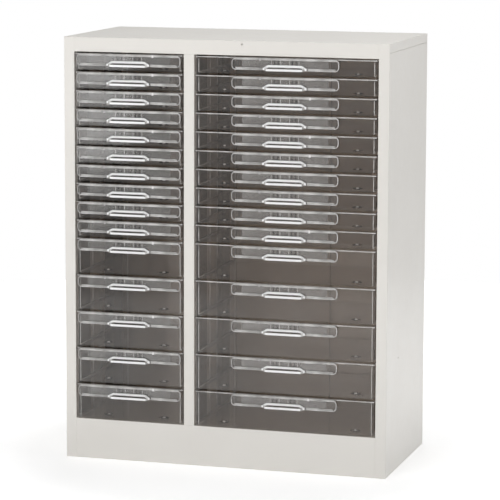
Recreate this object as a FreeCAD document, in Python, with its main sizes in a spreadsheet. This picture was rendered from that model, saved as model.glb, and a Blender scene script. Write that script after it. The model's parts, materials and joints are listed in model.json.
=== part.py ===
import FreeCAD, Part
import math
import os
import re
import Sketcher

# Steel cabinet with two columns of clear sliding trays for sheet paper.
# Millimetres, +Z up, the front faces -Y, the origin is at the middle of the base.
# Distances across the front are taken from the middle of the piece's own bay,
# distances front to back from the face of the steel frame, and heights in a
# drawer from the drawer's top edge.

SIZES = [
    # Bays and rows
    ("narrow_opening", 236),
    ("wide_opening", 384),
    ("shallow_pitch", 38.3),
    ("deep_pitch", 76.6),
    ("shallow_rows", 10),
    ("deep_rows", 5),
    # Steel body
    ("back_space", 32.5),
    ("stile_width", 22),
    ("mullion_width", 22),
    ("top_rail_height", 30),
    ("bottom_rail_height", 84),
    ("gauge", 1.0),
    ("frame_return", 18),
    ("shelf_return", 30),
    ("hem", 12),
    ("foot_hem", 15),
    ("skirt_height", 18),
    ("seam", 0.8),
    ("lap", 8),
    ("base_flange", 15),
    ("plinth_flange", 15),
    ("stiffener_width", 16),
    ("stiffener_depth", 8),
    ("gusset_side", 86),
    ("gusset_height", 6),
    ("foot_inset", 31),
    ("foot_radius", 14),
    ("foot_thickness", 4),
    ("nut_radius", 8),
    ("nut_height", 6),
    ("side_hole_radius", 2.25),
    ("side_hole_back", 102),
    ("side_hole_height", 231),
    ("rail_hole_radius", 1.75),
    ("rail_hole_across", 37.7),
    ("rail_hole_drop", 7.4),
    # Posts and runners
    ("post_width", 60),
    ("post_start", 32),
    ("rear_post_inset", 68),
    ("post_foot_gap", 3),
    ("runner_start", 22),
    ("runner_setback", 0.2),
    ("runner_leg", 5.8),
    ("runner_end_gap", 0.3),
    ("slide_gap", 0.3),
    ("stop_lip", 1.0),
    ("lug_height", 1.8),
    ("lug_length", 12),
    ("lug_width", 3.8),
    ("lug_edge", 0.6),
    ("lug_gap", 0.4),
    ("narrow_travel", 215),
    ("wide_travel", 175),
    # Drawer trays
    ("front_recess", 1.0),
    ("front_thickness", 2.4),
    ("front_side_gap", 2.8),
    ("front_top_gap", 3.0),
    ("front_bottom_gap", 0.8),
    ("front_corner", 5),
    ("flange_side_gap", 0.6),
    ("flange_thickness", 2.0),
    ("tray_side_gap", 6.2),
    ("tray_wall", 1.8),
    ("tray_chamfer", 4),
    ("inner_chamfer", 3),
    ("narrow_tray_depth", 304.5),
    ("wide_tray_depth", 262),
    # Label holder with its hooded pull
    ("holder_width", 224),
    ("holder_height", 25),
    ("holder_depth", 4.2),
    ("holder_drop", 0.3),
    ("holder_corner", 8),
    ("holder_chamfer", 4),
    ("holder_rim", 1.5),
    ("slot_chamfer", 4),
    ("window_thickness", 1.3),
    ("pull_depth", 7.5),
    ("hood_top_width", 65),
    ("hood_base_width", 94),
    ("hood_top", 14),
    ("hood_base", 24.5),
    ("lip_width", 76),
    ("lip_top", 21.8),
    ("lip_base", 26.3),
    ("hood_wall", 1.7),
    ("grip_width", 65),
]
ALIASES = [name for name, size in SIZES]

# Places worked out from the driving sizes
WIDTH = "(2 * stile_width + narrow_opening + mullion_width + wide_opening)"
ROWS_HEIGHT = "(shallow_rows * shallow_pitch + deep_rows * deep_pitch)"
OPENING_TOP = f"(bottom_rail_height + {ROWS_HEIGHT})"
HEIGHT = f"({OPENING_TOP} + top_rail_height)"
UNDER_TOP = f"({HEIGHT} - gauge)"
OUTER = f"({WIDTH} / 2)"
DEPTH = "(front_recess + narrow_tray_depth + back_space)"
FACE = f"((holder_depth + pull_depth - front_recess - {DEPTH}) / 2)"
FIRST_ROW = f"({OPENING_TOP} - front_top_gap)"
NARROW_CENTRE = f"(stile_width + narrow_opening / 2 - {OUTER})"
WIDE_CENTRE = f"({OUTER} - stile_width - wide_opening / 2)"
MULLION_CENTRE = f"(stile_width + narrow_opening + mullion_width / 2 - {OUTER})"
PLINTH_INSIDE = f"({DEPTH} - 3 * gauge - plinth_flange - seam)"
BAYS = {
    "narrow": (NARROW_CENTRE, {"left": "stile_width - gauge", "right": "(mullion_width - gauge) / 2"}),
    "wide": (WIDE_CENTRE, {"left": "(mullion_width - gauge) / 2", "right": "stile_width - gauge"}),
}
SIDES = {"left": -1, "right": 1}

doc = FreeCAD.newDocument("drawer_cabinet")
sheet = doc.addObject("Spreadsheet::Sheet", "sizes")
for row, (name, size) in enumerate(SIZES, start=1):
    sheet.set(f"A{row}", name)
    sheet.set(f"B{row}", str(size))
    sheet.setAlias(f"B{row}", name)
doc.recompute()

parts = []


def from_sheet(expression):
    """The same expression with each size read from the spreadsheet."""
    return re.sub(
        "[a-z_]+",
        lambda word: "sizes." + word.group() if word.group() in ALIASES else word.group(),
        str(expression),
    )


def number(expression):
    """The present value of an expression in sizes."""
    return float(sheet.evalExpression(str(expression)))


def bind(item, prop, expression):
    item.setExpression(prop, from_sheet(expression))


def place(item, across="0", height="0"):
    """Ties a Placement to the face of the frame and to the given place on it."""
    bind(item, "Placement.Base.x", across)
    bind(item, "Placement.Base.y", FACE)
    bind(item, "Placement.Base.z", height)


def new_body(label):
    body = doc.addObject("PartDesign::Body", label)
    body.Label = label
    body.AllowCompound = True
    return body


def new_part(label, across="0", height="0"):
    """A body that is one of the cabinet's own sub-parts."""
    body = new_body(label)
    place(body, across, height)
    parts.append(body)
    return body


def origin_feature(body, role):
    return next(item for item in body.Origin.OriginFeatures if item.Role == role)


def new_sketch(body, label, plane, start):
    """A sketch on one of the body's origin planes, moved by start along X, Y or Z."""
    sketch = body.newObject("Sketcher::SketchObject", label)
    sketch.AttachmentSupport = (origin_feature(body, plane + "_Plane"), "")
    sketch.MapMode = "FlatFace"
    bind(sketch, "AttachmentOffset.Base.z", f"-({start})" if plane == "XZ" else start)
    return sketch


def dimension(sketch, kind, expression, *where):
    index = sketch.addConstraint(Sketcher.Constraint(kind, *where, number(expression)))
    bind(sketch, f"Constraints[{index}]", expression)


def fix_point(sketch, geometry, end, across, up):
    """Dimensions one point of the sketch from the sketch's origin."""
    dimension(sketch, "DistanceX", across, -1, 1, geometry, end)
    dimension(sketch, "DistanceY", up, -1, 1, geometry, end)


def outline(sketch, corners):
    """Adds a closed outline. A corner is (across, up), or (across, up, radius) where it is round."""
    count = len(corners)
    points = [FreeCAD.Vector(number(c[0]), number(c[1]), 0) for c in corners]
    rounds = [number(c[2]) if len(c) == 3 else 0 for c in corners]
    arrive, leave = [], []
    for i, point in enumerate(points):
        back = (points[i - 1] - point).normalize()
        onward = (points[(i + 1) % count] - point).normalize()
        reach = rounds[i] / math.tan(back.getAngle(onward) / 2)
        arrive.append(point + back * reach)
        leave.append(point + onward * reach)
    lines = [
        sketch.addGeometry(Part.LineSegment(leave[i], arrive[(i + 1) % count]))
        for i in range(count)
    ]
    for i, corner in enumerate(corners):
        before, after = lines[i - 1], lines[i]
        if len(corner) == 2:
            sketch.addConstraint(Sketcher.Constraint("Coincident", before, 2, after, 1))
            fix_point(sketch, after, 1, *corner)
            continue
        bow, first, last = add_round(sketch, arrive[i], points[i], leave[i], rounds[i])
        sketch.addConstraint(Sketcher.Constraint("Tangent", before, 2, bow, first))
        sketch.addConstraint(Sketcher.Constraint("Tangent", bow, last, after, 1))
        dimension(sketch, "Radius", corner[2], bow)
        vertex = sketch.addGeometry(Part.Point(points[i]), True)
        sketch.addConstraint(Sketcher.Constraint("PointOnObject", vertex, 1, before))
        sketch.addConstraint(Sketcher.Constraint("PointOnObject", vertex, 1, after))
        fix_point(sketch, vertex, 1, *corner[:2])


def add_round(sketch, begin, vertex, finish, radius):
    """Adds the arc of a round corner and says which of its ends meets each neighbour."""
    inward = (begin + finish) * 0.5 - vertex
    half = (begin - vertex).getAngle(finish - vertex) / 2
    centre = vertex + inward.normalize() * (radius / math.sin(half))
    middle = centre + (vertex - centre).normalize() * radius
    turns_left = (vertex - begin).cross(finish - vertex).z > 0
    bow = sketch.addGeometry(Part.Arc(begin, middle, finish))
    return (bow, 1, 2) if turns_left else (bow, 2, 1)


def circle(sketch, across, up, radius):
    centre = FreeCAD.Vector(number(across), number(up), 0)
    ring = sketch.addGeometry(
        Part.Circle(centre, FreeCAD.Vector(0, 0, 1), number(radius))
    )
    dimension(sketch, "Radius", radius, ring)
    fix_point(sketch, ring, 3, across, up)


def rectangle(low_across, low_up, high_across, high_up):
    """The corners of a rectangle, for outline."""
    return [
        (low_across, low_up),
        (high_across, low_up),
        (high_across, high_up),
        (low_across, high_up),
    ]


def sweep(body, kind, label, plane, start, length, outlines, circles):
    sketch = new_sketch(body, label + "_sketch", plane, start)
    for corners in outlines:
        outline(sketch, corners)
    for ring in circles:
        circle(sketch, *ring)
    feature = body.newObject(kind, label)
    feature.Profile = sketch
    bind(feature, "Length", length)
    return feature


def pad(body, label, plane, start, length, *outlines, circles=()):
    """Adds material from start, along +X, +Y or +Z."""
    feature = sweep(body, "PartDesign::Pad", label, plane, start, length, outlines, circles)
    feature.Reversed = plane == "XZ"
    return feature


def pocket(body, label, plane, start, length, *outlines, circles=()):
    """Cuts material from start, along +X, +Y or +Z, and checks that something was cut."""
    doc.recompute()
    before = body.Shape.Volume
    feature = sweep(body, "PartDesign::Pocket", label, plane, start, length, outlines, circles)
    feature.Reversed = plane != "XZ"
    doc.recompute()
    if not body.Shape.Volume < before:
        raise RuntimeError(f"{label} cuts nothing from {body.Label}")
    return feature


def repeat_down(body, label, features, pitch, rows):
    """Repeats features down the column, one for each row."""
    pattern = body.newObject("PartDesign::LinearPattern", label)
    pattern.Originals = features
    pattern.Direction = (origin_feature(body, "Z_Axis"), [""])
    pattern.Reversed = True
    bind(pattern, "Length", f"{pitch} * ({rows} - 1)")
    bind(pattern, "Occurrences", rows)
    body.Tip = pattern


def hexagon(across, up, radius):
    """The corners of a hexagon, for outline."""
    return [
        (f"{across} + {radius} * cos({angle} deg)", f"{up} + {radius} * sin({angle} deg)")
        for angle in range(0, 360, 60)
    ]


def mirrored(side, corners):
    """Turns distances from the middle into places on one side of it."""
    return [(f"{side} * ({corner[0]})", *corner[1:]) for corner in corners]


def symmetrical(right_half):
    """Closes a right half, listed from the top down, with its mirror image."""
    return mirrored(1, right_half) + mirrored(-1, right_half[::-1])


def span(side, low, high):
    """Where a stretch from low to high, counted outwards from the middle, starts and how long it is."""
    return (low if side > 0 else f"-({high})"), f"({high}) - ({low})"


# Steel body


def top_panel():
    body = new_part("top_panel")
    sheet_outline = rectangle(f"-{OUTER}", "0", OUTER, DEPTH)
    pad(body, "top_sheet", "XY", UNDER_TOP, "gauge", sheet_outline)
    skirt = [
        (f"-{OUTER}", "gauge + seam"),
        (f"-{OUTER}", DEPTH),
        (OUTER, DEPTH),
        (OUTER, "gauge + seam"),
        (f"{OUTER} - gauge", "gauge + seam"),
        (f"{OUTER} - gauge", f"{DEPTH} - gauge"),
        (f"gauge - {OUTER}", f"{DEPTH} - gauge"),
        (f"gauge - {OUTER}", "gauge + seam"),
    ]
    pad(body, "skirt", "XY", f"{HEIGHT} - skirt_height", "skirt_height - gauge", skirt)


def side_panel(label, side):
    """Outer sheet, with the folds that take the back, the top's skirt and the floor."""
    body = new_part(label)
    inside = f"{OUTER} - gauge"
    lay = {
        "side_sheet": (
            "0",
            f"{HEIGHT} - skirt_height - seam",
            rectangle(inside, "gauge + seam", OUTER, DEPTH),
        ),
        "rear_return": (
            "0",
            UNDER_TOP,
            rectangle(f"{inside} - hem", f"{DEPTH} - 2 * gauge", inside, f"{DEPTH} - gauge"),
        ),
        "skirt_tongue": (
            f"{HEIGHT} - skirt_height - lap",
            "skirt_height + lap - gauge",
            rectangle(f"{inside} - gauge", "hem + seam", inside, f"{DEPTH} - 2 * gauge"),
        ),
        "foot_return": (
            "0",
            "gauge",
            rectangle(f"{inside} - foot_hem", "frame_return", inside, PLINTH_INSIDE),
        ),
    }
    for name, (start, length, corners) in lay.items():
        pad(body, name, "XY", start, length, mirrored(side, corners))
    start, length = span(side, f"{OUTER} - 2 * gauge", f"{OUTER} + gauge")
    hole = ("side_hole_back", "side_hole_height", "side_hole_radius")
    pocket(body, "side_hole", "YZ", start, length, circles=[hole])


def back_panel():
    body = new_part("back_panel")
    edge = f"({OUTER} - gauge - seam)"
    corners = rectangle(f"-{edge}", "0", edge, f"{HEIGHT} - skirt_height - seam")
    pad(body, "back_sheet", "XZ", f"{DEPTH} - gauge", "gauge", corners)


def back_stiffener(bay):
    """Upright channel behind the drawers, welded to the back at the middle of a bay."""
    body = new_part(f"{bay}_back_stiffener", BAYS[bay][0])
    half = "stiffener_width / 2"
    face = f"{DEPTH} - gauge"
    corners = [
        (f"-{half}", face),
        (f"-{half}", f"{face} - stiffener_depth"),
        (half, f"{face} - stiffener_depth"),
        (half, face),
        (f"{half} - gauge", face),
        (f"{half} - gauge", f"{face} - stiffener_depth + gauge"),
        (f"gauge - {half}", f"{face} - stiffener_depth + gauge"),
        (f"gauge - {half}", face),
    ]
    bottom = "bottom_rail_height - gauge"
    pad(body, "channel", "XY", bottom, f"{UNDER_TOP} - ({bottom})", corners)


def stile(label, side):
    body = new_part(label)
    inner = f"{OUTER} - stile_width"
    corners = [
        (OUTER, "0"),
        (OUTER, "gauge"),
        (f"{OUTER} - gauge", "gauge"),
        (f"{OUTER} - gauge", "hem"),
        (f"{OUTER} - 2 * gauge", "hem"),
        (f"{OUTER} - 2 * gauge", "gauge"),
        (f"{inner} + gauge", "gauge"),
        (f"{inner} + gauge", "frame_return"),
        (inner, "frame_return"),
        (inner, "0"),
    ]
    pad(body, "channel", "XY", "0", UNDER_TOP, mirrored(side, corners))


def mullion():
    body = new_part("mullion", MULLION_CENTRE)
    half = "mullion_width / 2"
    corners = [
        (f"-{half}", "0"),
        (half, "0"),
        (half, "frame_return"),
        (f"{half} - gauge", "frame_return"),
        (f"{half} - gauge", "gauge"),
        (f"gauge - {half}", "gauge"),
        (f"gauge - {half}", "frame_return"),
        (f"-{half}", "frame_return"),
    ]
    pad(body, "channel", "XY", "bottom_rail_height", ROWS_HEIGHT, corners)


def frame_rail(label, bottom, top, bottom_return, top_return):
    """Channel between the stiles, folded back along its lower and upper edges."""
    body = new_part(label)
    corners = [
        ("0", bottom),
        (bottom_return, bottom),
        (bottom_return, f"{bottom} + gauge"),
        ("gauge", f"{bottom} + gauge"),
        ("gauge", f"{top} - gauge"),
        (top_return, f"{top} - gauge"),
        (top_return, top),
        ("0", top),
    ]
    pad(body, "channel", "YZ", f"stile_width - {OUTER}", f"{WIDTH} - 2 * stile_width", corners)
    return body


def top_rail():
    body = frame_rail("top_rail", OPENING_TOP, UNDER_TOP, "frame_return", "hem")
    hole = ("rail_hole_across", f"{HEIGHT} - rail_hole_drop", "rail_hole_radius")
    pocket(body, "rail_hole", "XZ", "0", "2 * gauge", circles=[hole])


def base_panel():
    """Floor of the drawer space, with a flange welded to each side panel."""
    body = new_part("base_panel")
    edge = f"({OUTER} - gauge)"
    under = "bottom_rail_height - 2 * gauge"
    floor_outline = rectangle(f"-{edge}", "frame_return", edge, f"{DEPTH} - 2 * gauge")
    pad(body, "floor_sheet", "XY", under, "gauge", floor_outline)
    flange = rectangle(f"{edge} - gauge", "frame_return", edge, PLINTH_INSIDE)
    flanges = [mirrored(side, flange) for side in SIDES.values()]
    pad(body, "flanges", "XY", f"{under} - base_flange", "base_flange", *flanges)


def centre_partition():
    """Upright sheet between the bays, folded along its foot and its head."""
    body = new_part("centre_partition", MULLION_CENTRE)
    foot = "bottom_rail_height - gauge"
    corners = [
        ("-gauge / 2", foot),
        ("hem", foot),
        ("hem", f"{foot} + gauge"),
        ("gauge / 2", f"{foot} + gauge"),
        ("gauge / 2", f"{UNDER_TOP} - gauge"),
        ("hem", f"{UNDER_TOP} - gauge"),
        ("hem", UNDER_TOP),
        ("-gauge / 2", UNDER_TOP),
    ]
    start = "shelf_return + seam"
    pad(body, "folded_sheet", "XZ", start, f"{DEPTH} - gauge - ({start})", corners)


def rear_plinth_rail():
    body = new_part("rear_plinth_rail")
    web = f"{DEPTH} - 2 * gauge"
    top = "(bottom_rail_height - 2 * gauge)"
    flange_edge = f"{web} - gauge - plinth_flange"
    corners = [
        (web, "0"),
        (flange_edge, "0"),
        (flange_edge, "gauge"),
        (f"{web} - gauge", "gauge"),
        (f"{web} - gauge", f"{top} - gauge"),
        (flange_edge, f"{top} - gauge"),
        (flange_edge, top),
        (web, top),
    ]
    pad(body, "channel", "YZ", f"gauge - {OUTER}", f"{WIDTH} - 2 * gauge", corners)


def foot_corners():
    """The four inside corners of the plinth: side, place front to back, and the way inwards."""
    places = (("frame_return", "1"), (f"({DEPTH} - 3 * gauge)", "-1"))
    return [(side, corner, inwards) for side in SIDES.values() for corner, inwards in places]


def foot_hexagons(radius):
    """A hexagon around each foot's upright axis."""
    return [
        hexagon(f"{side} * ({OUTER} - gauge - foot_inset)", f"{corner} + {inwards} * foot_inset", radius)
        for side, corner, inwards in foot_corners()
    ]


def corner_gussets():
    """Triangular plates across the plinth's corners, each with a welded nut."""
    body = new_part("corner_gussets")
    wall = f"{OUTER} - gauge"
    plates = [
        mirrored(
            side,
            [
                (wall, corner),
                (f"{wall} - gusset_side", corner),
                (wall, f"{corner} + {inwards} * gusset_side"),
            ],
        )
        for side, corner, inwards in foot_corners()
    ]
    pad(body, "plates", "XY", "gusset_height", "gauge", *plates)
    pad(body, "nuts", "XY", "gusset_height + gauge", "nut_height", *foot_hexagons("nut_radius"))


def levelling_feet():
    """Six-sided foot pads, each with a spanner collar that bears on its gusset."""
    body = new_part("levelling_feet")
    collar = "gusset_height - foot_thickness"
    pad(body, "foot_pads", "XY", "0", "foot_thickness", *foot_hexagons("foot_radius"))
    pad(body, "collars", "XY", "foot_thickness", collar, *foot_hexagons("nut_radius"))


# Posts and runners


def post(bay, side_name, name, start):
    """Upright channel whose web carries the runners and whose legs reach the wall beside it."""
    centre, carriers = BAYS[bay]
    body = new_part(f"{bay}_{side_name}_{name}_post", centre)
    web = f"{bay}_opening / 2 + runner_setback + gauge"
    wall = f"{bay}_opening / 2 + {carriers[side_name]}"
    end = f"({start} + post_width)"
    corners = [
        (web, start),
        (web, end),
        (wall, end),
        (wall, f"{end} - gauge"),
        (f"{web} + gauge", f"{end} - gauge"),
        (f"{web} + gauge", f"{start} + gauge"),
        (wall, f"{start} + gauge"),
        (wall, start),
    ]
    bottom = "bottom_rail_height + post_foot_gap"
    height = f"{ROWS_HEIGHT} - post_foot_gap"
    pad(body, "channel", "XY", bottom, height, mirrored(SIDES[side_name], corners))


def runners(bay, side_name):
    """A channel for each drawer's flange, with a stop lip in front and a wall behind."""
    body = new_part(f"{bay}_{side_name}_runners", BAYS[bay][0], FIRST_ROW)
    side = SIDES[side_name]
    web = f"({bay}_opening / 2 + runner_setback)"
    edge = f"({web} - runner_leg)"
    floor = "(-(flange_thickness + slide_gap))"
    roof = "(lug_height + lug_gap)"
    end = f"(front_recess + {bay}_tray_depth + runner_end_gap)"
    channel = [
        (f"{web} + gauge", f"{floor} - gauge"),
        (f"{web} + gauge", f"{roof} + gauge"),
        (edge, f"{roof} + gauge"),
        (edge, roof),
        (web, roof),
        (web, floor),
        (edge, floor),
        (edge, f"{floor} - gauge"),
    ]
    lip = rectangle(edge, "slide_gap", web, roof)
    rear_wall = rectangle(edge, floor, web, roof)
    drops = {
        "shallow": ("0", "shallow_pitch"),
        "deep": ("shallow_rows * shallow_pitch", "deep_pitch"),
    }
    for size, (drop, pitch) in drops.items():
        pieces = []
        for name, start, length, corners in (
            ("channel", "runner_start", f"{end} + gauge - runner_start", channel),
            ("lip", "runner_start", "stop_lip", lip),
            ("rear_wall", end, "gauge", rear_wall),
        ):
            lowered = [(across, f"{up} - {drop}") for across, up in corners]
            pieces.append(
                pad(body, f"{size}_{name}", "XZ", start, length, mirrored(side, lowered))
            )
        repeat_down(body, f"{size}_runners", pieces, pitch, f"{size}_rows")


# Drawers


def tray(bay, size):
    """A moulded tray: flanged shell with chamfered lower edges, closed by its wider front."""
    body = new_body(f"{bay}_{size}_tray")
    height = f"({size}_pitch - front_top_gap - front_bottom_gap)"
    half = f"{bay}_opening / 2"
    flange = f"{half} - flange_side_gap"
    wall = f"{half} - tray_side_gap"
    front = f"{half} - front_side_gap"
    front_back = "(front_recess + front_thickness)"
    rear = f"front_recess + {bay}_tray_depth"

    shell = symmetrical(
        [
            (flange, "0"),
            (flange, "-flange_thickness"),
            (wall, "-flange_thickness"),
            (wall, f"tray_chamfer - {height}"),
            (f"{wall} - tray_chamfer", f"-{height}"),
        ]
    )
    hollow = symmetrical(
        [
            (f"{wall} - tray_wall", "tray_wall"),
            (f"{wall} - tray_wall", f"tray_wall + inner_chamfer - {height}"),
            (f"{wall} - tray_wall - inner_chamfer", f"tray_wall - {height}"),
        ]
    )
    face = symmetrical(
        [
            (flange, "0"),
            (flange, "-flange_thickness"),
            (front, "-flange_thickness"),
            (front, f"-{height}", "front_corner"),
        ]
    )
    lug = rectangle(f"{flange} - lug_edge - lug_width", "0", f"{flange} - lug_edge", "lug_height")
    lug_start = f"runner_start + stop_lip + slide_gap + {bay}_travel"
    pad(body, "shell", "XZ", front_back, f"{rear} - {front_back}", shell)
    pocket(body, "hollow", "XZ", front_back, f"{rear} - tray_wall - {front_back}", hollow)
    pad(body, "face", "XZ", "front_recess", "front_thickness", face)
    lugs = [mirrored(side, lug) for side in SIDES.values()]
    pad(body, "stop_lugs", "XZ", lug_start, "lug_length", *lugs)
    return body


def label_holder():
    """Open-topped label pocket, with the hooded pull that grows from its window."""
    body = new_body("label_holder")
    half = "holder_width / 2"
    base = "(holder_drop + holder_height)"
    window = "(front_recess - holder_depth)"
    lip = f"({window} - pull_depth)"

    block = symmetrical(
        [
            (f"{half} - holder_chamfer", "-holder_drop"),
            (half, "-holder_drop - holder_chamfer"),
            (half, f"-{base}", "holder_corner"),
        ]
    )
    slot = symmetrical(
        [
            (f"{half} - holder_chamfer - holder_rim", "holder_rim"),
            (f"{half} - holder_chamfer - holder_rim", "-holder_drop"),
            (f"{half} - holder_rim", "-holder_drop - holder_chamfer"),
            (f"{half} - holder_rim", f"holder_rim + slot_chamfer - {base}"),
            (f"{half} - holder_rim - slot_chamfer", f"holder_rim - {base}"),
        ]
    )
    pad(body, "block", "XZ", window, "holder_depth", block)
    pocket(body, "card_slot", "XZ", f"{window} + window_thickness", "holder_depth", slot)
    hood_side = [
        (window, "-hood_top"),
        (lip, "-lip_top"),
        (lip, "-lip_base"),
        (window, "-hood_base"),
    ]
    pad(body, "hood", "YZ", "-hood_base_width / 2", "hood_base_width", hood_side)
    sloped_end = [
        ("hood_top_width / 2", "-hood_top"),
        ("hood_base_width / 2", "-hood_base"),
        ("hood_base_width / 2", "-hood_top"),
    ]
    sloped_ends = [mirrored(side, sloped_end) for side in SIDES.values()]
    pocket(body, "hood_slopes", "XZ", lip, "pull_depth", *sloped_ends)
    tapered_end = [
        ("hood_base_width / 2", window),
        ("lip_width / 2", lip),
        ("hood_base_width / 2", lip),
    ]
    tapered_ends = [mirrored(side, tapered_end) for side in SIDES.values()]
    pocket(body, "hood_tapers", "XY", "-lip_base", "lip_base - hood_top", *tapered_ends)
    finger_side = [
        (window, "-hood_top - hood_wall"),
        (f"{lip} + hood_wall", "-lip_top"),
        (f"{lip} + hood_wall", "-lip_base - hood_wall"),
        (window, "-lip_base - hood_wall"),
    ]
    pocket(body, "finger_hollow", "YZ", "-grip_width / 2", "grip_width", finger_side)
    return body


def drawers(bay, holder):
    """One drawer for each row, shallow rows above deep ones, each with its label holder."""
    centre = BAYS[bay][0]
    trays = {size: tray(bay, size) for size in ("shallow", "deep")}
    shallow_rows = int(number("shallow_rows"))
    for row in range(shallow_rows + int(number("deep_rows"))):
        size = "shallow" if row < shallow_rows else "deep"
        above = f"{min(row, shallow_rows)} * shallow_pitch + {max(row - shallow_rows, 0)} * deep_pitch"
        label = f"{bay}_drawer_{row + 1:02d}"
        drawer = doc.addObject("Part::Compound", label)
        drawer.Label = label
        drawer.Links = [trays[size], holder]
        place(drawer, centre, f"{FIRST_ROW} - ({above})")
        parts.append(drawer)


def check_and_write():
    """Stops at anything that failed, then writes one STEP file for each sub-part."""
    doc.recompute()
    for item in doc.Objects:
        if "Invalid" in item.State or "Error" in item.State:
            raise RuntimeError(f"{item.Name} failed: {item.State}")
        if item.isDerivedFrom("Sketcher::SketchObject") and not item.FullyConstrained:
            raise RuntimeError(f"{item.Name} is not fully dimensioned")
    os.makedirs("parts", exist_ok=True)
    for part in parts:
        if part.Shape.isNull() or not part.Shape.isValid() or not part.Shape.Solids:
            raise RuntimeError(f"{part.Label} has no valid solid")
    for part in parts:
        part.Shape.exportStep(f"parts/{part.Label}.step")
        box = part.Shape.BoundBox
        print(
            f"{part.Label}: {len(part.Shape.Solids)} solids,"
            f" {box.XLength:.1f} x {box.YLength:.1f} x {box.ZLength:.1f}"
        )


top_panel()
for side_name, side in SIDES.items():
    side_panel(f"{side_name}_side_panel", side)
    stile(f"{side_name}_stile", side)
back_panel()
mullion()
top_rail()
frame_rail("bottom_rail", "0", "bottom_rail_height", "foot_hem", "shelf_return")
base_panel()
centre_partition()
rear_plinth_rail()
corner_gussets()
levelling_feet()
for bay in BAYS:
    back_stiffener(bay)
    for side_name in SIDES:
        post(bay, side_name, "front", "post_start")
        post(bay, side_name, "rear", f"(front_recess + {bay}_tray_depth - rear_post_inset)")
        runners(bay, side_name)
holder = label_holder()
for bay in BAYS:
    drawers(bay, holder)
check_and_write()
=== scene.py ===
import bmesh
import bpy
import json
import math
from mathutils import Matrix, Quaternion, Vector


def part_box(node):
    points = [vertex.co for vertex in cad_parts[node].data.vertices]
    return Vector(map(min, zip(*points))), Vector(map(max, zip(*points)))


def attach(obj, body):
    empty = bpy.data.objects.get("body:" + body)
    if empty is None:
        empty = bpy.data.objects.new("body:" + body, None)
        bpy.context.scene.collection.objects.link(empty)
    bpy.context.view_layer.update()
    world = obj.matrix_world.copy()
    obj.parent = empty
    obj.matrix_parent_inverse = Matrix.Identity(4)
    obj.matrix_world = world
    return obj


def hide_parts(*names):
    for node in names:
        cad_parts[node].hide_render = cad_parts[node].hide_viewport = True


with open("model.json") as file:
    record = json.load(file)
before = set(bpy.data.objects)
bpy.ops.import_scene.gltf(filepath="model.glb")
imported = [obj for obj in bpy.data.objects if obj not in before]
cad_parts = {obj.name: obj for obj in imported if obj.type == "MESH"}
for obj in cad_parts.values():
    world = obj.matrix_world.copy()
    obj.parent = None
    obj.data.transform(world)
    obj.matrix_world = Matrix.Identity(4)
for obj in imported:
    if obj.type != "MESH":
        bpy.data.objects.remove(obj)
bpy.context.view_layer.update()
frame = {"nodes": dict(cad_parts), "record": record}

# A steel cabinet of clear paper trays, in metres, in the frame of the CAD.
# Places in a drawer are counted from the middle of its width, the face of the
# steel frame (depth, positive into the cabinet) and the tray's top edge.

MM = 0.001

# Sizes that follow the CAD
LUG_HEIGHT = 1.8 * MM
FRONT_RECESS = 1.0 * MM
FRONT_BACK = 3.4 * MM
SHALLOW_ROWS = 10
WINDOW = -3.2 * MM
WINDOW_THICKNESS = 1.3 * MM
LIP = -10.7 * MM
TRAY_WALL = 1.8 * MM
FRAME_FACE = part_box("mullion")[0].y

# Rounded edges, and how far a CAD face may be from the place it is known by
STEEL_BEND = 0.9 * MM
POST_BEND = 0.3 * MM
FOOT_BEND = 0.5 * MM
PLASTIC_EDGE = 0.35 * MM
SMOOTHEST_EDGE = math.radians(25)
SAME_PLANE = math.radians(0.5)
SAME_POINT = 0.01 * MM
FACE_SLACK = 0.2 * MM
LIP_SLACK = 0.3 * MM
TOP_SLACK = 0.5 * MM
FACES_UP = 0.9
FACES_SIDEWAYS = 0.25

# The label holder and its hood
BEAD_RADIUS = 2.7 * MM
BEAD_HEIGHT = -16.7 * MM
BEAD_DEPTH = -5.2 * MM
BEAD_FLAT = 32.5 * MM
BEAD_END = 45.5 * MM
BEAD_DROP = 5.6 * MM
HOLDER_HALF = 112 * MM
HOLDER_BOTTOM = -25.3 * MM
HOLDER_CORNER = 8 * MM
RIM_RADIUS = 1.0 * MM
RIM_DEPTH = WINDOW + 0.4 * MM
RIM_TOP = -2.2 * MM
BAND_HEIGHT = 5.6 * MM
BAND_LIFT = 0.3 * MM
HEAD_BAND_BOTTOM = -5.0 * MM
BAND_TOP = -0.6 * MM
BAND_FRONT = WINDOW - 0.3 * MM
BAND_BACK = WINDOW + 0.9 * MM
BAND_INSET = 5 * MM
BAND_EDGE = 0.4 * MM
HOOD_HALF = 47 * MM
BEHIND_WINDOW = WINDOW + WINDOW_THICKNESS
FILM_LOW = (-90 * MM, BEHIND_WINDOW + 0.6 * MM, -22.5 * MM)
FILM_HIGH = (90 * MM, BEHIND_WINDOW + 0.9 * MM, -1.5 * MM)
FILM_EDGE = 0.1 * MM
# Places of the dark webs, which paint the shade of the hood's ribs, and of the pale webs,
# which paint highlight lines.
SHADE_RIBS = (-22.7 * MM, -14.8 * MM, 14.8 * MM, 22.7 * MM)
HIGHLIGHT_RIBS = (-28.5 * MM, -9.4 * MM, 9.4 * MM, 28.5 * MM)
SHADE_RIB_HALF = 1.0 * MM
HIGHLIGHT_RIB_HALF = 0.5 * MM
RIB_BOTTOM = -14.6 * MM
RIB_TOP = -1.4 * MM
RIB_FRONT = BEHIND_WINDOW + 0.05 * MM
RIB_DEPTH = 0.5 * MM
RIB_EDGE = 0.15 * MM
NIB_PLACE = 52.3 * MM
NIB_HALF = 2.0 * MM
NIB_BOTTOM = -6.4 * MM
NIB_TOP = -0.4 * MM
NIB_FRONT = WINDOW - 0.6 * MM
NIB_BACK = WINDOW + 0.3 * MM
NIB_EDGE = 0.3 * MM
# Which side of the hood each row's catch is on, from the top row down
NIBS = {"narrow": "RRRLRLLRLLRLRRR", "wide": "LLRLRRLLLRLLLLR"}

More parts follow.
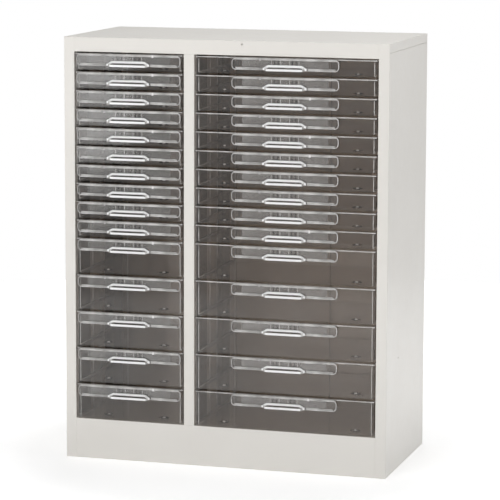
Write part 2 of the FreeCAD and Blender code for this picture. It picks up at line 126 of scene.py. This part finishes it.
# The tray
BOSS_PLACES = {"narrow": (-61 * MM, 61 * MM), "wide": (-140 * MM, 140 * MM)}
BOSS_BACK = 43 * MM
# Outlines of half a boss, white as a painted highlight, and of half the dark ring round it,
# a painted shade: radius and height in mm
BOSS_DOME = ((3.4, 0), (3.2, 1.0), (2.5, 1.8), (1.5, 2.3), (0.4, 2.5))
BOSS_SHADE_RING = ((10.5, 0), (10.2, 0.6), (9.2, 0.9), (8.0, 0.6), (7.6, 0.02))
CAVITY_INSET = 8.0 * MM
CAVITY_END = 4 * MM
FILLET_RADIUS = 0.9 * MM
FILLET_STEPS = 8
FILLET_SINK = 0.3 * MM
FILLET_TOP = -4 * MM
SIDE_INSET = 0.4 * MM
REAR_INSET = 0.5 * MM
REAR_TOP = -5 * MM
WALL_RIBS = (81 * MM, 130 * MM)
WALL_RIB_FOOT = 3 * MM
WALL_RIB_TOP = -10 * MM
MOULDING_INSET = 2.4 * MM
MOULDING_HEIGHT = 2.4 * MM
MOULDING_FRONT = FRONT_RECESS - 0.7 * MM
MOULDING_BACK = FRONT_RECESS + 0.2 * MM
MOULDING_EDGE = 0.35 * MM

# The noises: features per metre, and how deep the scratches are
DRIFT_SCALE = 5.0
SHEEN_SCALE = 60.0
GRAIN_SCALE = 700.0
CLOUD_SCALE = 30.0
SCRATCH_SCALE = 240.0
SCRATCH_DEPTH = 0.0015 * MM

# Gloss of clear plastic, seen square on and how it grows towards grazing
GLOSS_SQUARE_ON = 0.03
GLOSS_GROWTH = 5.0

# Studio
WALLS_SEEN_THROUGH = 64
SURROUND_BELOW = 0.7
SURROUND_ABOVE = 0.04
SURROUND_FADE = 0.4
FLOOR_RADIUS = 2.3
FLOOR_GAP = 0.2 * MM
FLOOR_WHITE = (0.93, 0.93, 0.93, 1)
# The floor glows less near the cabinet than far off, which paints a soft shade on the floor
# round it.
FLOOR_GLOW_NEAR = 0.48
FLOOR_GLOW_FAR = 0.9
FLOOR_GLOW_RANGE = (0.45, 0.95)
# Place, target, size and watts of each area light
LIGHTS = {
    "low_left": ((-1.7, -2.7, 0.75), (0, 0, 0.45), (1.2, 1.0), 8),
    "front_top": ((-0.2, -1.7, 2.4), (0, 0, 0.6), (1.4, 1.0), 18),
    "right_top": ((1.0, -0.3, 1.7), (0.3, 0, 0.7), (0.8, 0.8), 4.0),
    "overhead": ((0.1, 0.3, 2.4), (0, 0, 0.8), (1.2, 1.0), 16),
    "rear_fill": ((-0.8, 2.7, 1.8), (0, 0, 0.5), (1.6, 1.2), 12),
}
UNMIRRORED_LIGHT = "rear_fill"

# Camera, fitted to the photograph's lines
EYE_PLACE = (1.538, -5.1495, 1.2434)
EYE_YAW = math.radians(16.554)
EYE_PITCH = math.radians(7.949)
EYE_ROLL = math.radians(0.18)
LENS = 186.69
SENSOR = 36
SHIFT = -0.06
FARTHEST = 200


# Materials


def new_material(name):
    material = bpy.data.materials.new(name)
    material.use_nodes = True
    material.node_tree.nodes.clear()
    return material, material.node_tree.nodes, material.node_tree.links


def noise(nodes, links, scale, detail=3.0, stretch=None):
    """A noise texture in the object's own coordinates, in metres."""
    coordinates = nodes.new("ShaderNodeTexCoord")
    texture = nodes.new("ShaderNodeTexNoise")
    texture.inputs["Scale"].default_value = scale
    texture.inputs["Detail"].default_value = detail
    if stretch:
        mapping = nodes.new("ShaderNodeMapping")
        mapping.inputs["Scale"].default_value = stretch
        links.new(coordinates.outputs["Object"], mapping.inputs["Vector"])
        links.new(mapping.outputs["Vector"], texture.inputs["Vector"])
    else:
        links.new(coordinates.outputs["Object"], texture.inputs["Vector"])
    return texture.outputs["Fac"]


def ramp(nodes, links, factor, low, high, start=0.35, end=0.65):
    """Two colours, or two greys, spread over a noise."""
    colours = nodes.new("ShaderNodeValToRGB")
    elements = colours.color_ramp.elements
    for element, position, value in zip(elements, (start, end), (low, high)):
        colour = value if isinstance(value, tuple) else (value, value, value)
        element.position = position
        element.color = (*colour, 1)
    links.new(factor, colours.inputs["Fac"])
    return colours.outputs["Color"]


def bump(nodes, links, height, distance):
    node = nodes.new("ShaderNodeBump")
    node.inputs["Strength"].default_value = 1.0
    node.inputs["Distance"].default_value = distance
    links.new(height, node.inputs["Height"])
    return node.outputs["Normal"]


def facing_gloss(nodes, links):
    """Gloss that grows towards grazing, alike on both sides of a face.

    A Fresnel node would turn the inside of every wall into a mirror.
    """
    facing = nodes.new("ShaderNodeLayerWeight")
    facing.inputs["Blend"].default_value = 0.5
    grazing = nodes.new("ShaderNodeMath")
    grazing.operation = "POWER"
    grazing.inputs[1].default_value = GLOSS_GROWTH
    links.new(facing.outputs["Facing"], grazing.inputs[0])
    reflected = nodes.new("ShaderNodeMath")
    reflected.operation = "MULTIPLY_ADD"
    reflected.inputs[1].default_value = 1 - GLOSS_SQUARE_ON
    reflected.inputs[2].default_value = GLOSS_SQUARE_ON
    links.new(grazing.outputs["Value"], reflected.inputs[0])
    return reflected.outputs["Value"]


def painted(name, light, dark, roughness, coat=0.0, peel=0.00006, metallic=0.0):
    """Stoved paint: slight colour drift, uneven sheen and an orange-peel surface."""
    material, nodes, links = new_material(name)
    shader = nodes.new("ShaderNodeBsdfPrincipled")
    output = nodes.new("ShaderNodeOutputMaterial")
    shader.inputs["Metallic"].default_value = metallic
    shader.inputs["Coat Weight"].default_value = coat
    shader.inputs["Coat Roughness"].default_value = 0.12
    drift = noise(nodes, links, DRIFT_SCALE)
    links.new(ramp(nodes, links, drift, dark, light), shader.inputs["Base Color"])
    sheen = noise(nodes, links, SHEEN_SCALE)
    spread = (roughness - 0.04, roughness + 0.05)
    links.new(ramp(nodes, links, sheen, *spread), shader.inputs["Roughness"])
    grain = noise(nodes, links, GRAIN_SCALE, 2.0)
    links.new(bump(nodes, links, grain, peel), shader.inputs["Normal"])
    links.new(shader.outputs["BSDF"], output.inputs["Surface"])
    return material


def clear_plastic(name, tint, haze, haze_colour, roughness=0.06):
    """Clear plastic: light goes straight through the tint, with gloss and a little haze."""
    material, nodes, links = new_material(name)
    clear = nodes.new("ShaderNodeBsdfTransparent")
    clear.inputs["Color"].default_value = (*tint, 1)
    cloudy = nodes.new("ShaderNodeBsdfDiffuse")
    cloudy.inputs["Color"].default_value = (*haze_colour, 1)
    gloss = nodes.new("ShaderNodeBsdfGlossy")
    gloss.inputs["Roughness"].default_value = roughness
    gloss.inputs["Color"].default_value = (0.95, 0.95, 0.95, 1)
    reflected = facing_gloss(nodes, links)
    body = nodes.new("ShaderNodeMixShader")
    surface = nodes.new("ShaderNodeMixShader")
    output = nodes.new("ShaderNodeOutputMaterial")
    cloud = noise(nodes, links, CLOUD_SCALE)
    links.new(ramp(nodes, links, cloud, haze * 0.6, haze * 1.4), body.inputs["Fac"])
    links.new(clear.outputs["BSDF"], body.inputs[1])
    links.new(cloudy.outputs["BSDF"], body.inputs[2])
    marks = noise(nodes, links, SCRATCH_SCALE, 4.0, (1.0, 1.0, 0.2))
    normal = bump(nodes, links, marks, SCRATCH_DEPTH)
    links.new(normal, gloss.inputs["Normal"])
    links.new(reflected, surface.inputs["Fac"])
    links.new(body.outputs["Shader"], surface.inputs[1])
    links.new(gloss.outputs["BSDF"], surface.inputs[2])
    links.new(surface.outputs["Shader"], output.inputs["Surface"])
    return material


CREAM = painted("cream_enamel", (0.83, 0.805, 0.76), (0.805, 0.78, 0.735), 0.36, coat=0.1)
RUNNER = painted(
    "runner_steel", (0.26, 0.25, 0.235), (0.20, 0.19, 0.18), 0.42, metallic=0.6
)
FOOT = painted("foot_plastic", (0.035, 0.035, 0.035), (0.02, 0.02, 0.02), 0.5)

SMOKE = clear_plastic("smoke_tray", (0.932, 0.908, 0.888), 0.014, (0.62, 0.56, 0.51))
WINDOW_CLEAR = clear_plastic("window_clear", (0.92, 0.915, 0.91), 0.02, (0.75, 0.74, 0.73))
# Whitish haze on the top rims, the holder's sides, its bands and the tray's top moulding: a
# painted edge highlight for the light clear plastic catches at its edges.
EDGE_HIGHLIGHT = clear_plastic("hazy_edge_highlight", (0.7, 0.69, 0.68), 0.52, (0.8, 0.79, 0.77), 0.15)
FILMS = {
    "narrow": clear_plastic("thin_film", (0.9, 0.9, 0.9), 0.13, (0.6, 0.61, 0.6), 0.3),
    "wide": clear_plastic("thick_film", (0.9, 0.9, 0.9), 0.21, (0.62, 0.61, 0.60), 0.3),
}
# Dark tinted plastic for painted shade: the dark webs in the holder and the rings round the
# floor bosses.
SHADE_PLASTIC = clear_plastic("painted_shade_plastic", (0.5, 0.48, 0.47), 0.02, (0.5, 0.48, 0.46), 0.15)
# A still whiter haze on the holder's rims, its pale webs and the catch: painted highlight
# lines.
RIM_HIGHLIGHT = clear_plastic("rim_highlight_haze", (0.7, 0.69, 0.68), 0.68, (0.82, 0.81, 0.8), 0.12)
# Whitish haze on the tray's inner fillets and wall ribs: painted highlight lines.
FILLET_HIGHLIGHT = clear_plastic(
    "fillet_highlight_haze", (0.85, 0.84, 0.83), 0.70, (0.8, 0.79, 0.77), 0.12
)
# Plain white standing in for the saturated highlights on clear plastic: a painted highlight
# on the hood's bead and lip, the lugs, the floor bosses and the tray's rear corners.
HIGHLIGHT_WHITE = painted(
    "painted_highlight_white", (0.95, 0.95, 0.95), (0.92, 0.92, 0.92), 0.12, coat=0.6, peel=0.00001
)


# Mesh helpers


def new_object(name, mesh, *materials):
    piece = bpy.data.objects.new(name, mesh)
    bpy.context.scene.collection.objects.link(piece)
    if not mesh.materials:
        for material in materials:
            mesh.materials.append(material)
    return piece


def round_edges(piece, width, segments=2):
    modifier = piece.modifiers.new("edges", "BEVEL")
    modifier.width = width
    modifier.segments = segments
    modifier.limit_method = "ANGLE"
    modifier.angle_limit = SMOOTHEST_EDGE


def dressed_copy(node, *materials):
    """The CAD node's mesh with its flat faces joined, ready for round edges."""
    mesh = frame["nodes"][node].data.copy()
    mesh.materials.clear()
    shell = bmesh.new()
    shell.from_mesh(mesh)
    bmesh.ops.remove_doubles(shell, verts=shell.verts, dist=SAME_POINT)
    bmesh.ops.dissolve_limit(
        shell, angle_limit=SAME_PLANE, verts=shell.verts, edges=shell.edges
    )
    for face in shell.faces:
        face.smooth = False
        face.material_index = 0
    shell.to_mesh(mesh)
    shell.free()
    return new_object(node + "_look", mesh, *materials)


def add_bar(shell, low, high, bevel):
    """A bar with round edges between two corners."""
    made = bmesh.ops.create_cube(shell, size=1)["verts"]
    low, high = Vector(low), Vector(high)
    for vert in made:
        vert.co = low + (vert.co + Vector((0.5, 0.5, 0.5))) * (high - low)
    edges = {edge for vert in made for edge in vert.link_edges}
    bmesh.ops.bevel(
        shell, geom=list(edges), offset=bevel, segments=2, profile=0.5, affect="EDGES"
    )


def add_tube(shell, path, radius, steps=10):
    """A round bar along a path of points, with flat ends."""
    path = [Vector(point) for point in path]
    rings = []
    for i, point in enumerate(path):
        ahead = (path[min(i + 1, len(path) - 1)] - path[max(i - 1, 0)]).normalized()
        side = ahead.orthogonal() if i == 0 else side - ahead * side.dot(ahead)
        side.normalize()
        over = ahead.cross(side)
        ring = []
        for step in range(steps):
            angle = math.tau * step / steps
            offset = side * math.cos(angle) + over * math.sin(angle)
            ring.append(shell.verts.new(point + offset * radius))
        rings.append(ring)
    join_rings(shell, rings)
    shell.faces.new(reversed(rings[0]))
    shell.faces.new(rings[-1])


def join_rings(shell, rings):
    """Faces between rings of the same number of points."""
    for lower, upper in zip(rings, rings[1:]):
        for i in range(len(lower)):
            j = (i + 1) % len(lower)
            shell.faces.new((lower[i], lower[j], upper[j], upper[i]))


def add_turned(shell, centre, outline, steps):
    """A turned form about an upright axis, from (radius, height) points in mm."""
    rings = []
    for radius, height in outline:
        ring = []
        for step in range(steps):
            angle = math.tau * step / steps
            offset = Vector((radius * math.cos(angle), radius * math.sin(angle), height))
            ring.append(shell.verts.new(Vector(centre) + offset * MM))
        rings.append(ring)
    join_rings(shell, rings)
    shell.faces.new(rings[-1])


def corner_arc(centre, radius, start, end, depth, steps=8):
    """Points of an arc in the drawer's front, its angles in degrees."""
    points = []
    for i in range(steps + 1):
        angle = math.radians(start + (end - start) * i / steps)
        points.append(
            (
                centre[0] + radius * math.cos(angle),
                depth,
                centre[1] + radius * math.sin(angle),
            )
        )
    return points


def finished_mesh(name, shell, smooth=True):
    for face in shell.faces:
        face.smooth = smooth
    mesh = bpy.data.meshes.new(name)
    shell.to_mesh(mesh)
    shell.free()
    return mesh


def belongs(piece, body, slot, *nodes):
    """Puts the piece on its body and hides the nodes it stands for. The slot, the finish it
    takes, is not used.
    """
    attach(piece, body)
    if nodes:
        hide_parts(*nodes)


# Steel


def steel():
    """Every fixed node gets rounded edges and its finish."""
    bodies = frame["record"]["behaviour"]["bodies"]
    for node in bodies["cabinet"]:
        if node == "levelling_feet":
            finish, material, bend = "foot_plastic", FOOT, FOOT_BEND
        elif "post" in node or "runners" in node or "gusset" in node:
            finish, material, bend = "runner_steel", RUNNER, POST_BEND
        else:
            finish, material, bend = "cream_enamel", CREAM, STEEL_BEND
        piece = dressed_copy(node, material)
        round_edges(piece, bend)
        belongs(piece, "cabinet", finish, node)


# Drawers


def shell_piece(node, top):
    """The tray and its label holder, with the lip, the rims and the window told apart. The
    lip and the lugs are plain white, a painted highlight; the top rims and the holder's
    sides take the hazy painted edge highlight.
    """
    piece = dressed_copy(node, SMOKE, EDGE_HIGHLIGHT, WINDOW_CLEAR, HIGHLIGHT_WHITE)
    edge, window, highlight_slot = 1, 2, 3
    for face in piece.data.polygons:
        middle, normal = face.center, face.normal
        back = middle.y - FRAME_FACE
        # Lip and lugs: painted highlight white. Top rims and holder sides: hazy painted
        # edge highlight.
        if back < LIP + LIP_SLACK or middle.z > top + FACE_SLACK:
            face.material_index = highlight_slot
        elif normal.z > FACES_UP and abs(middle.z - top) < TOP_SLACK:
            face.material_index = edge
        elif back < WINDOW - FACE_SLACK and abs(normal.x) > FACES_SIDEWAYS:
            face.material_index = edge
        elif back < FRONT_RECESS:
            face.material_index = window
    round_edges(piece, PLASTIC_EDGE)
    return piece


def hood_bead():
    """The ridge where the hood grows out of the window, plain white as a painted highlight.
    """
    shell = bmesh.new()
    path = []
    steps = 8
    for i in range(steps + 1):
        drop = BEAD_DROP * (1 + math.cos(math.pi * i / steps)) / 2
        across = BEAD_END - (BEAD_END - BEAD_FLAT) * i / steps
        path.append((across, BEAD_DEPTH, BEAD_HEIGHT - drop))
    path += [(-x, y, z) for x, y, z in reversed(path)]
    add_tube(shell, path, BEAD_RADIUS)
    return finished_mesh("hood_bead", shell)


def holder_rim():
    """The raised edge round each end of the label holder, on to the hood."""
    shell = bmesh.new()
    for side in (-1, 1):
        across = side * (HOLDER_HALF - RIM_RADIUS - HOLDER_CORNER)
        upper = (across, RIM_TOP - HOLDER_CORNER)
        lower = (across, HOLDER_BOTTOM + RIM_RADIUS + HOLDER_CORNER)
        turns = ((90, 0), (0, -90)) if side > 0 else ((90, 180), (180, 270))
        path = corner_arc(upper, HOLDER_CORNER, *turns[0], RIM_DEPTH)
        path += corner_arc(lower, HOLDER_CORNER, *turns[1], RIM_DEPTH)
        path += [(side * HOOD_HALF, RIM_DEPTH, HOLDER_BOTTOM + RIM_RADIUS)]
        add_tube(shell, path, RIM_RADIUS)
    return finished_mesh("holder_rim", shell)


def holder_bands():
    """The thicker bands along the head and the foot of the label holder."""
    shell = bmesh.new()
    bottom, top = HOLDER_BOTTOM + BAND_LIFT, HOLDER_BOTTOM + BAND_HEIGHT
    foot_end = HOLDER_HALF - HOLDER_CORNER
    head_end = HOLDER_HALF - BAND_INSET
    for left, right, low, high in (
        (-head_end, head_end, HEAD_BAND_BOTTOM, BAND_TOP),
        (-foot_end, -HOOD_HALF, bottom, top),
        (HOOD_HALF, foot_end, bottom, top),
    ):
        add_bar(shell, (left, BAND_FRONT, low), (right, BAND_BACK, high), BAND_EDGE)
    return finished_mesh("holder_bands", shell)


def label_film():
    """A blank translucent label behind the window."""
    shell = bmesh.new()
    add_bar(shell, FILM_LOW, FILM_HIGH, FILM_EDGE)
    return finished_mesh("label_film", shell)


def holder_ribs(name, places, half_width):
    """Upright webs inside the label holder, above the hood. Dark ones paint shade, pale
    ones paint highlight lines.
    """
    shell = bmesh.new()
    for place in places:
        add_bar(
            shell,
            (place - half_width, RIB_FRONT, RIB_BOTTOM),
            (place + half_width, RIB_FRONT + RIB_DEPTH, RIB_TOP),
            RIB_EDGE,
        )
    return finished_mesh(name, shell)


def label_nib(side):
    """The small catch on the holder's top edge."""
    shell = bmesh.new()
    place = side * NIB_PLACE
    add_bar(
        shell,
        (place - NIB_HALF, NIB_FRONT, NIB_BOTTOM),
        (place + NIB_HALF, NIB_BACK, NIB_TOP),
        NIB_EDGE,
    )
    return finished_mesh("label_nib", shell)


def tray_fillets(name, half, floor, back):
    """The rounded inner corners of the tray and the upright ribs on its walls."""
    shell = bmesh.new()
    front, low = FRONT_BACK + FILLET_SINK, floor + FILLET_SINK
    for side in (-1, 1):
        across = side * (half - SIDE_INSET)
        runs = [
            ((across, back, low), (across, front, low)),
            ((across, front, low), (across, front, FILLET_TOP)),
        ]
        for depth in WALL_RIBS:
            foot = (across, depth, floor + WALL_RIB_FOOT)
            runs.append((foot, (across, depth, WALL_RIB_TOP)))
        for run in runs:
            add_tube(shell, run, FILLET_RADIUS, FILLET_STEPS)
    return finished_mesh(name, shell)


def rear_corners(name, half, floor, back):
    """The upright corners at the back of the tray, white lines of painted highlight."""
    shell = bmesh.new()
    for side in (-1, 1):
        across = side * (half - REAR_INSET)
        ends = (across, back, floor + REAR_INSET), (across, back, REAR_TOP)
        add_tube(shell, ends, FILLET_RADIUS, FILLET_STEPS)
    return finished_mesh(name, shell)


def top_moulding(name, half):
    """The rounded strip along the top of the tray's front."""
    shell = bmesh.new()
    low, high = (-half, MOULDING_FRONT, -MOULDING_HEIGHT), (half, MOULDING_BACK, 0)
    add_bar(shell, low, high, MOULDING_EDGE)
    return finished_mesh(name, shell)


def turned_on_floor(name, places, floor, outline, steps):
    """The same turned form at each boss of the tray's floor."""
    shell = bmesh.new()
    for place in places:
        add_turned(shell, (place, BOSS_BACK, floor), outline, steps)
    return finished_mesh(name, shell)


def tray_details(key, bay, half, floor, back):
    """The meshes that trays of one width and height share."""
    inside = (half - CAVITY_INSET, floor, back - CAVITY_END)
    on_floor = (BOSS_PLACES[bay], floor)
    # The moulding and the fillets take hazy painted edge highlights, the bosses and rear
    # corners plain white as painted highlights, and the rings dark plastic as painted
    # shade.
    return (
        ("moulding", top_moulding(key + "_moulding", half - MOULDING_INSET), EDGE_HIGHLIGHT),
        ("bosses", turned_on_floor(key + "_bosses", *on_floor, BOSS_DOME, 20), HIGHLIGHT_WHITE),
        ("rings", turned_on_floor(key + "_rings", *on_floor, BOSS_SHADE_RING, 28), SHADE_PLASTIC),
        ("fillets", tray_fillets(key + "_fillets", *inside), FILLET_HIGHLIGHT),
        ("corners", rear_corners(key + "_corners", *inside), HIGHLIGHT_WHITE),
    )


def drawers():
    """Dresses every drawer of both columns."""
    # The bead is plain white, a painted highlight; the rim and the bands carry hazy painted
    # edge highlights.
    holder = (
        ("bead", hood_bead(), HIGHLIGHT_WHITE),
        ("rim", holder_rim(), RIM_HIGHLIGHT),
        ("bands", holder_bands(), EDGE_HIGHLIGHT),
    )
    # The dark webs are painted shade, the pale ones painted highlight lines.
    ribs = (
        ("shade_ribs", holder_ribs("shade_ribs", SHADE_RIBS, SHADE_RIB_HALF), SHADE_PLASTIC),
        ("highlight_ribs", holder_ribs("highlight_ribs", HIGHLIGHT_RIBS, HIGHLIGHT_RIB_HALF), RIM_HIGHLIGHT),
    )
    film = label_film()
    nibs = {"L": label_nib(-1), "R": label_nib(1)}
    shared = {}
    for bay in NIBS:
        for row, nib in enumerate(NIBS[bay], start=1):
            node = f"{bay}_drawer_{row:02d}"
            low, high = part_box(node)
            top = high.z - LUG_HEIGHT
            origin = Vector(((low.x + high.x) / 2, FRAME_FACE, top))
            half = (high.x - low.x) / 2
            floor = low.z - top + TRAY_WALL
            belongs(shell_piece(node, top), node, "clear_tray", node)
            key = f"{bay}_{'deep' if row > SHALLOW_ROWS else 'shallow'}"
            if key not in shared:
                shared[key] = tray_details(key, bay, half, floor, high.y - FRAME_FACE)
            label = ("film", film, FILMS[bay])
            catch = ("nib", nibs[nib], RIM_HIGHLIGHT)
            extras = (*holder, label, *ribs, catch, *shared[key])
            for kind, mesh, material in extras:
                piece = new_object(f"{node}_{kind}", mesh, material)
                piece.material_slots[0].link = "OBJECT"
                piece.material_slots[0].material = material
                piece.location = origin
                belongs(piece, node, "clear_tray")


# Studio


def area_light(name, place, target, size, power):
    data = bpy.data.lights.new(name, "AREA")
    data.shape = "RECTANGLE"
    data.size, data.size_y = size
    data.energy = power
    lamp = bpy.data.objects.new(name, data)
    bpy.context.scene.collection.objects.link(lamp)
    lamp.location = place
    lamp.rotation_mode = "QUATERNION"
    lamp.rotation_quaternion = (Vector(target) - Vector(place)).to_track_quat("-Z", "Y")
    lamp.visible_camera = False
    lamp.visible_glossy = name != UNMIRRORED_LIGHT


def white_surround():
    """White behind the picture, which gives only dim light, most of it from below."""
    world = bpy.data.worlds.new("studio")
    world.use_nodes = True
    nodes, links = world.node_tree.nodes, world.node_tree.links
    nodes.clear()
    direction = nodes.new("ShaderNodeTexCoord")
    split = nodes.new("ShaderNodeSeparateXYZ")
    links.new(direction.outputs["Generated"], split.inputs["Vector"])
    glow = ramp(
        nodes, links, split.outputs["Z"], SURROUND_BELOW, SURROUND_ABOVE, 0.0, SURROUND_FADE
    )
    soft = nodes.new("ShaderNodeBackground")
    links.new(glow, soft.inputs["Color"])
    white = nodes.new("ShaderNodeBackground")
    white.inputs["Color"].default_value = (1, 1, 1, 1)
    path = nodes.new("ShaderNodeLightPath")
    either = nodes.new("ShaderNodeMixShader")
    links.new(path.outputs["Is Camera Ray"], either.inputs["Fac"])
    links.new(soft.outputs["Background"], either.inputs[1])
    links.new(white.outputs["Background"], either.inputs[2])
    output = nodes.new("ShaderNodeOutputWorld")
    links.new(either.outputs["Shader"], output.inputs["Surface"])
    bpy.context.scene.world = world


def studio():
    """The lights, the white surround and the pale floor."""
    white_surround()
    for name, (place, target, size, power) in LIGHTS.items():
        area_light(name, place, target, size, power)
    floor = bmesh.new()
    bmesh.ops.create_circle(floor, cap_ends=True, segments=96, radius=FLOOR_RADIUS)
    mesh = finished_mesh("studio_floor", floor, smooth=False)
    ground = new_object("studio_floor", mesh, white_floor())
    ground.location.z = -FLOOR_GAP


def white_floor():
    """A pale floor that glows a little, so that only a faint shadow is left at the feet."""
    material, nodes, links = new_material("pale_floor")
    shader = nodes.new("ShaderNodeBsdfPrincipled")
    shader.inputs["Base Color"].default_value = FLOOR_WHITE
    shader.inputs["Roughness"].default_value = 0.7
    shader.inputs["Emission Color"].default_value = (1, 1, 1, 1)
    coordinates = nodes.new("ShaderNodeTexCoord")
    distance = nodes.new("ShaderNodeVectorMath")
    distance.operation = "LENGTH"
    links.new(coordinates.outputs["Object"], distance.inputs[0])
    far = distance.outputs["Value"]
    # Weaker glow near the middle paints a soft shade on the floor round the cabinet.
    glow = ramp(nodes, links, far, FLOOR_GLOW_NEAR, FLOOR_GLOW_FAR, *FLOOR_GLOW_RANGE)
    links.new(glow, shader.inputs["Emission Strength"])
    output = nodes.new("ShaderNodeOutputMaterial")
    links.new(shader.outputs["BSDF"], output.inputs["Surface"])
    return material


def camera():
    """The photograph's view: from the right and above, through a long lens."""
    data = bpy.data.cameras.new("camera")
    eye = bpy.data.objects.new("camera", data)
    bpy.context.scene.collection.objects.link(eye)
    bpy.context.scene.camera = eye
    level = math.cos(EYE_PITCH)
    ahead = Vector(
        (-math.sin(EYE_YAW) * level, math.cos(EYE_YAW) * level, -math.sin(EYE_PITCH))
    )
    data.sensor_width = SENSOR
    data.lens = LENS
    data.shift_y = SHIFT
    data.clip_end = FARTHEST
    eye.location = EYE_PLACE
    eye.rotation_mode = "QUATERNION"
    roll = Quaternion((0, 0, 1), EYE_ROLL)
    eye.rotation_quaternion = ahead.to_track_quat("-Z", "Y") @ roll


bpy.context.scene.view_settings.view_transform = "Standard"
bpy.context.scene.cycles.transparent_max_bounces = WALLS_SEEN_THROUGH
steel()
drawers()
studio()
camera()
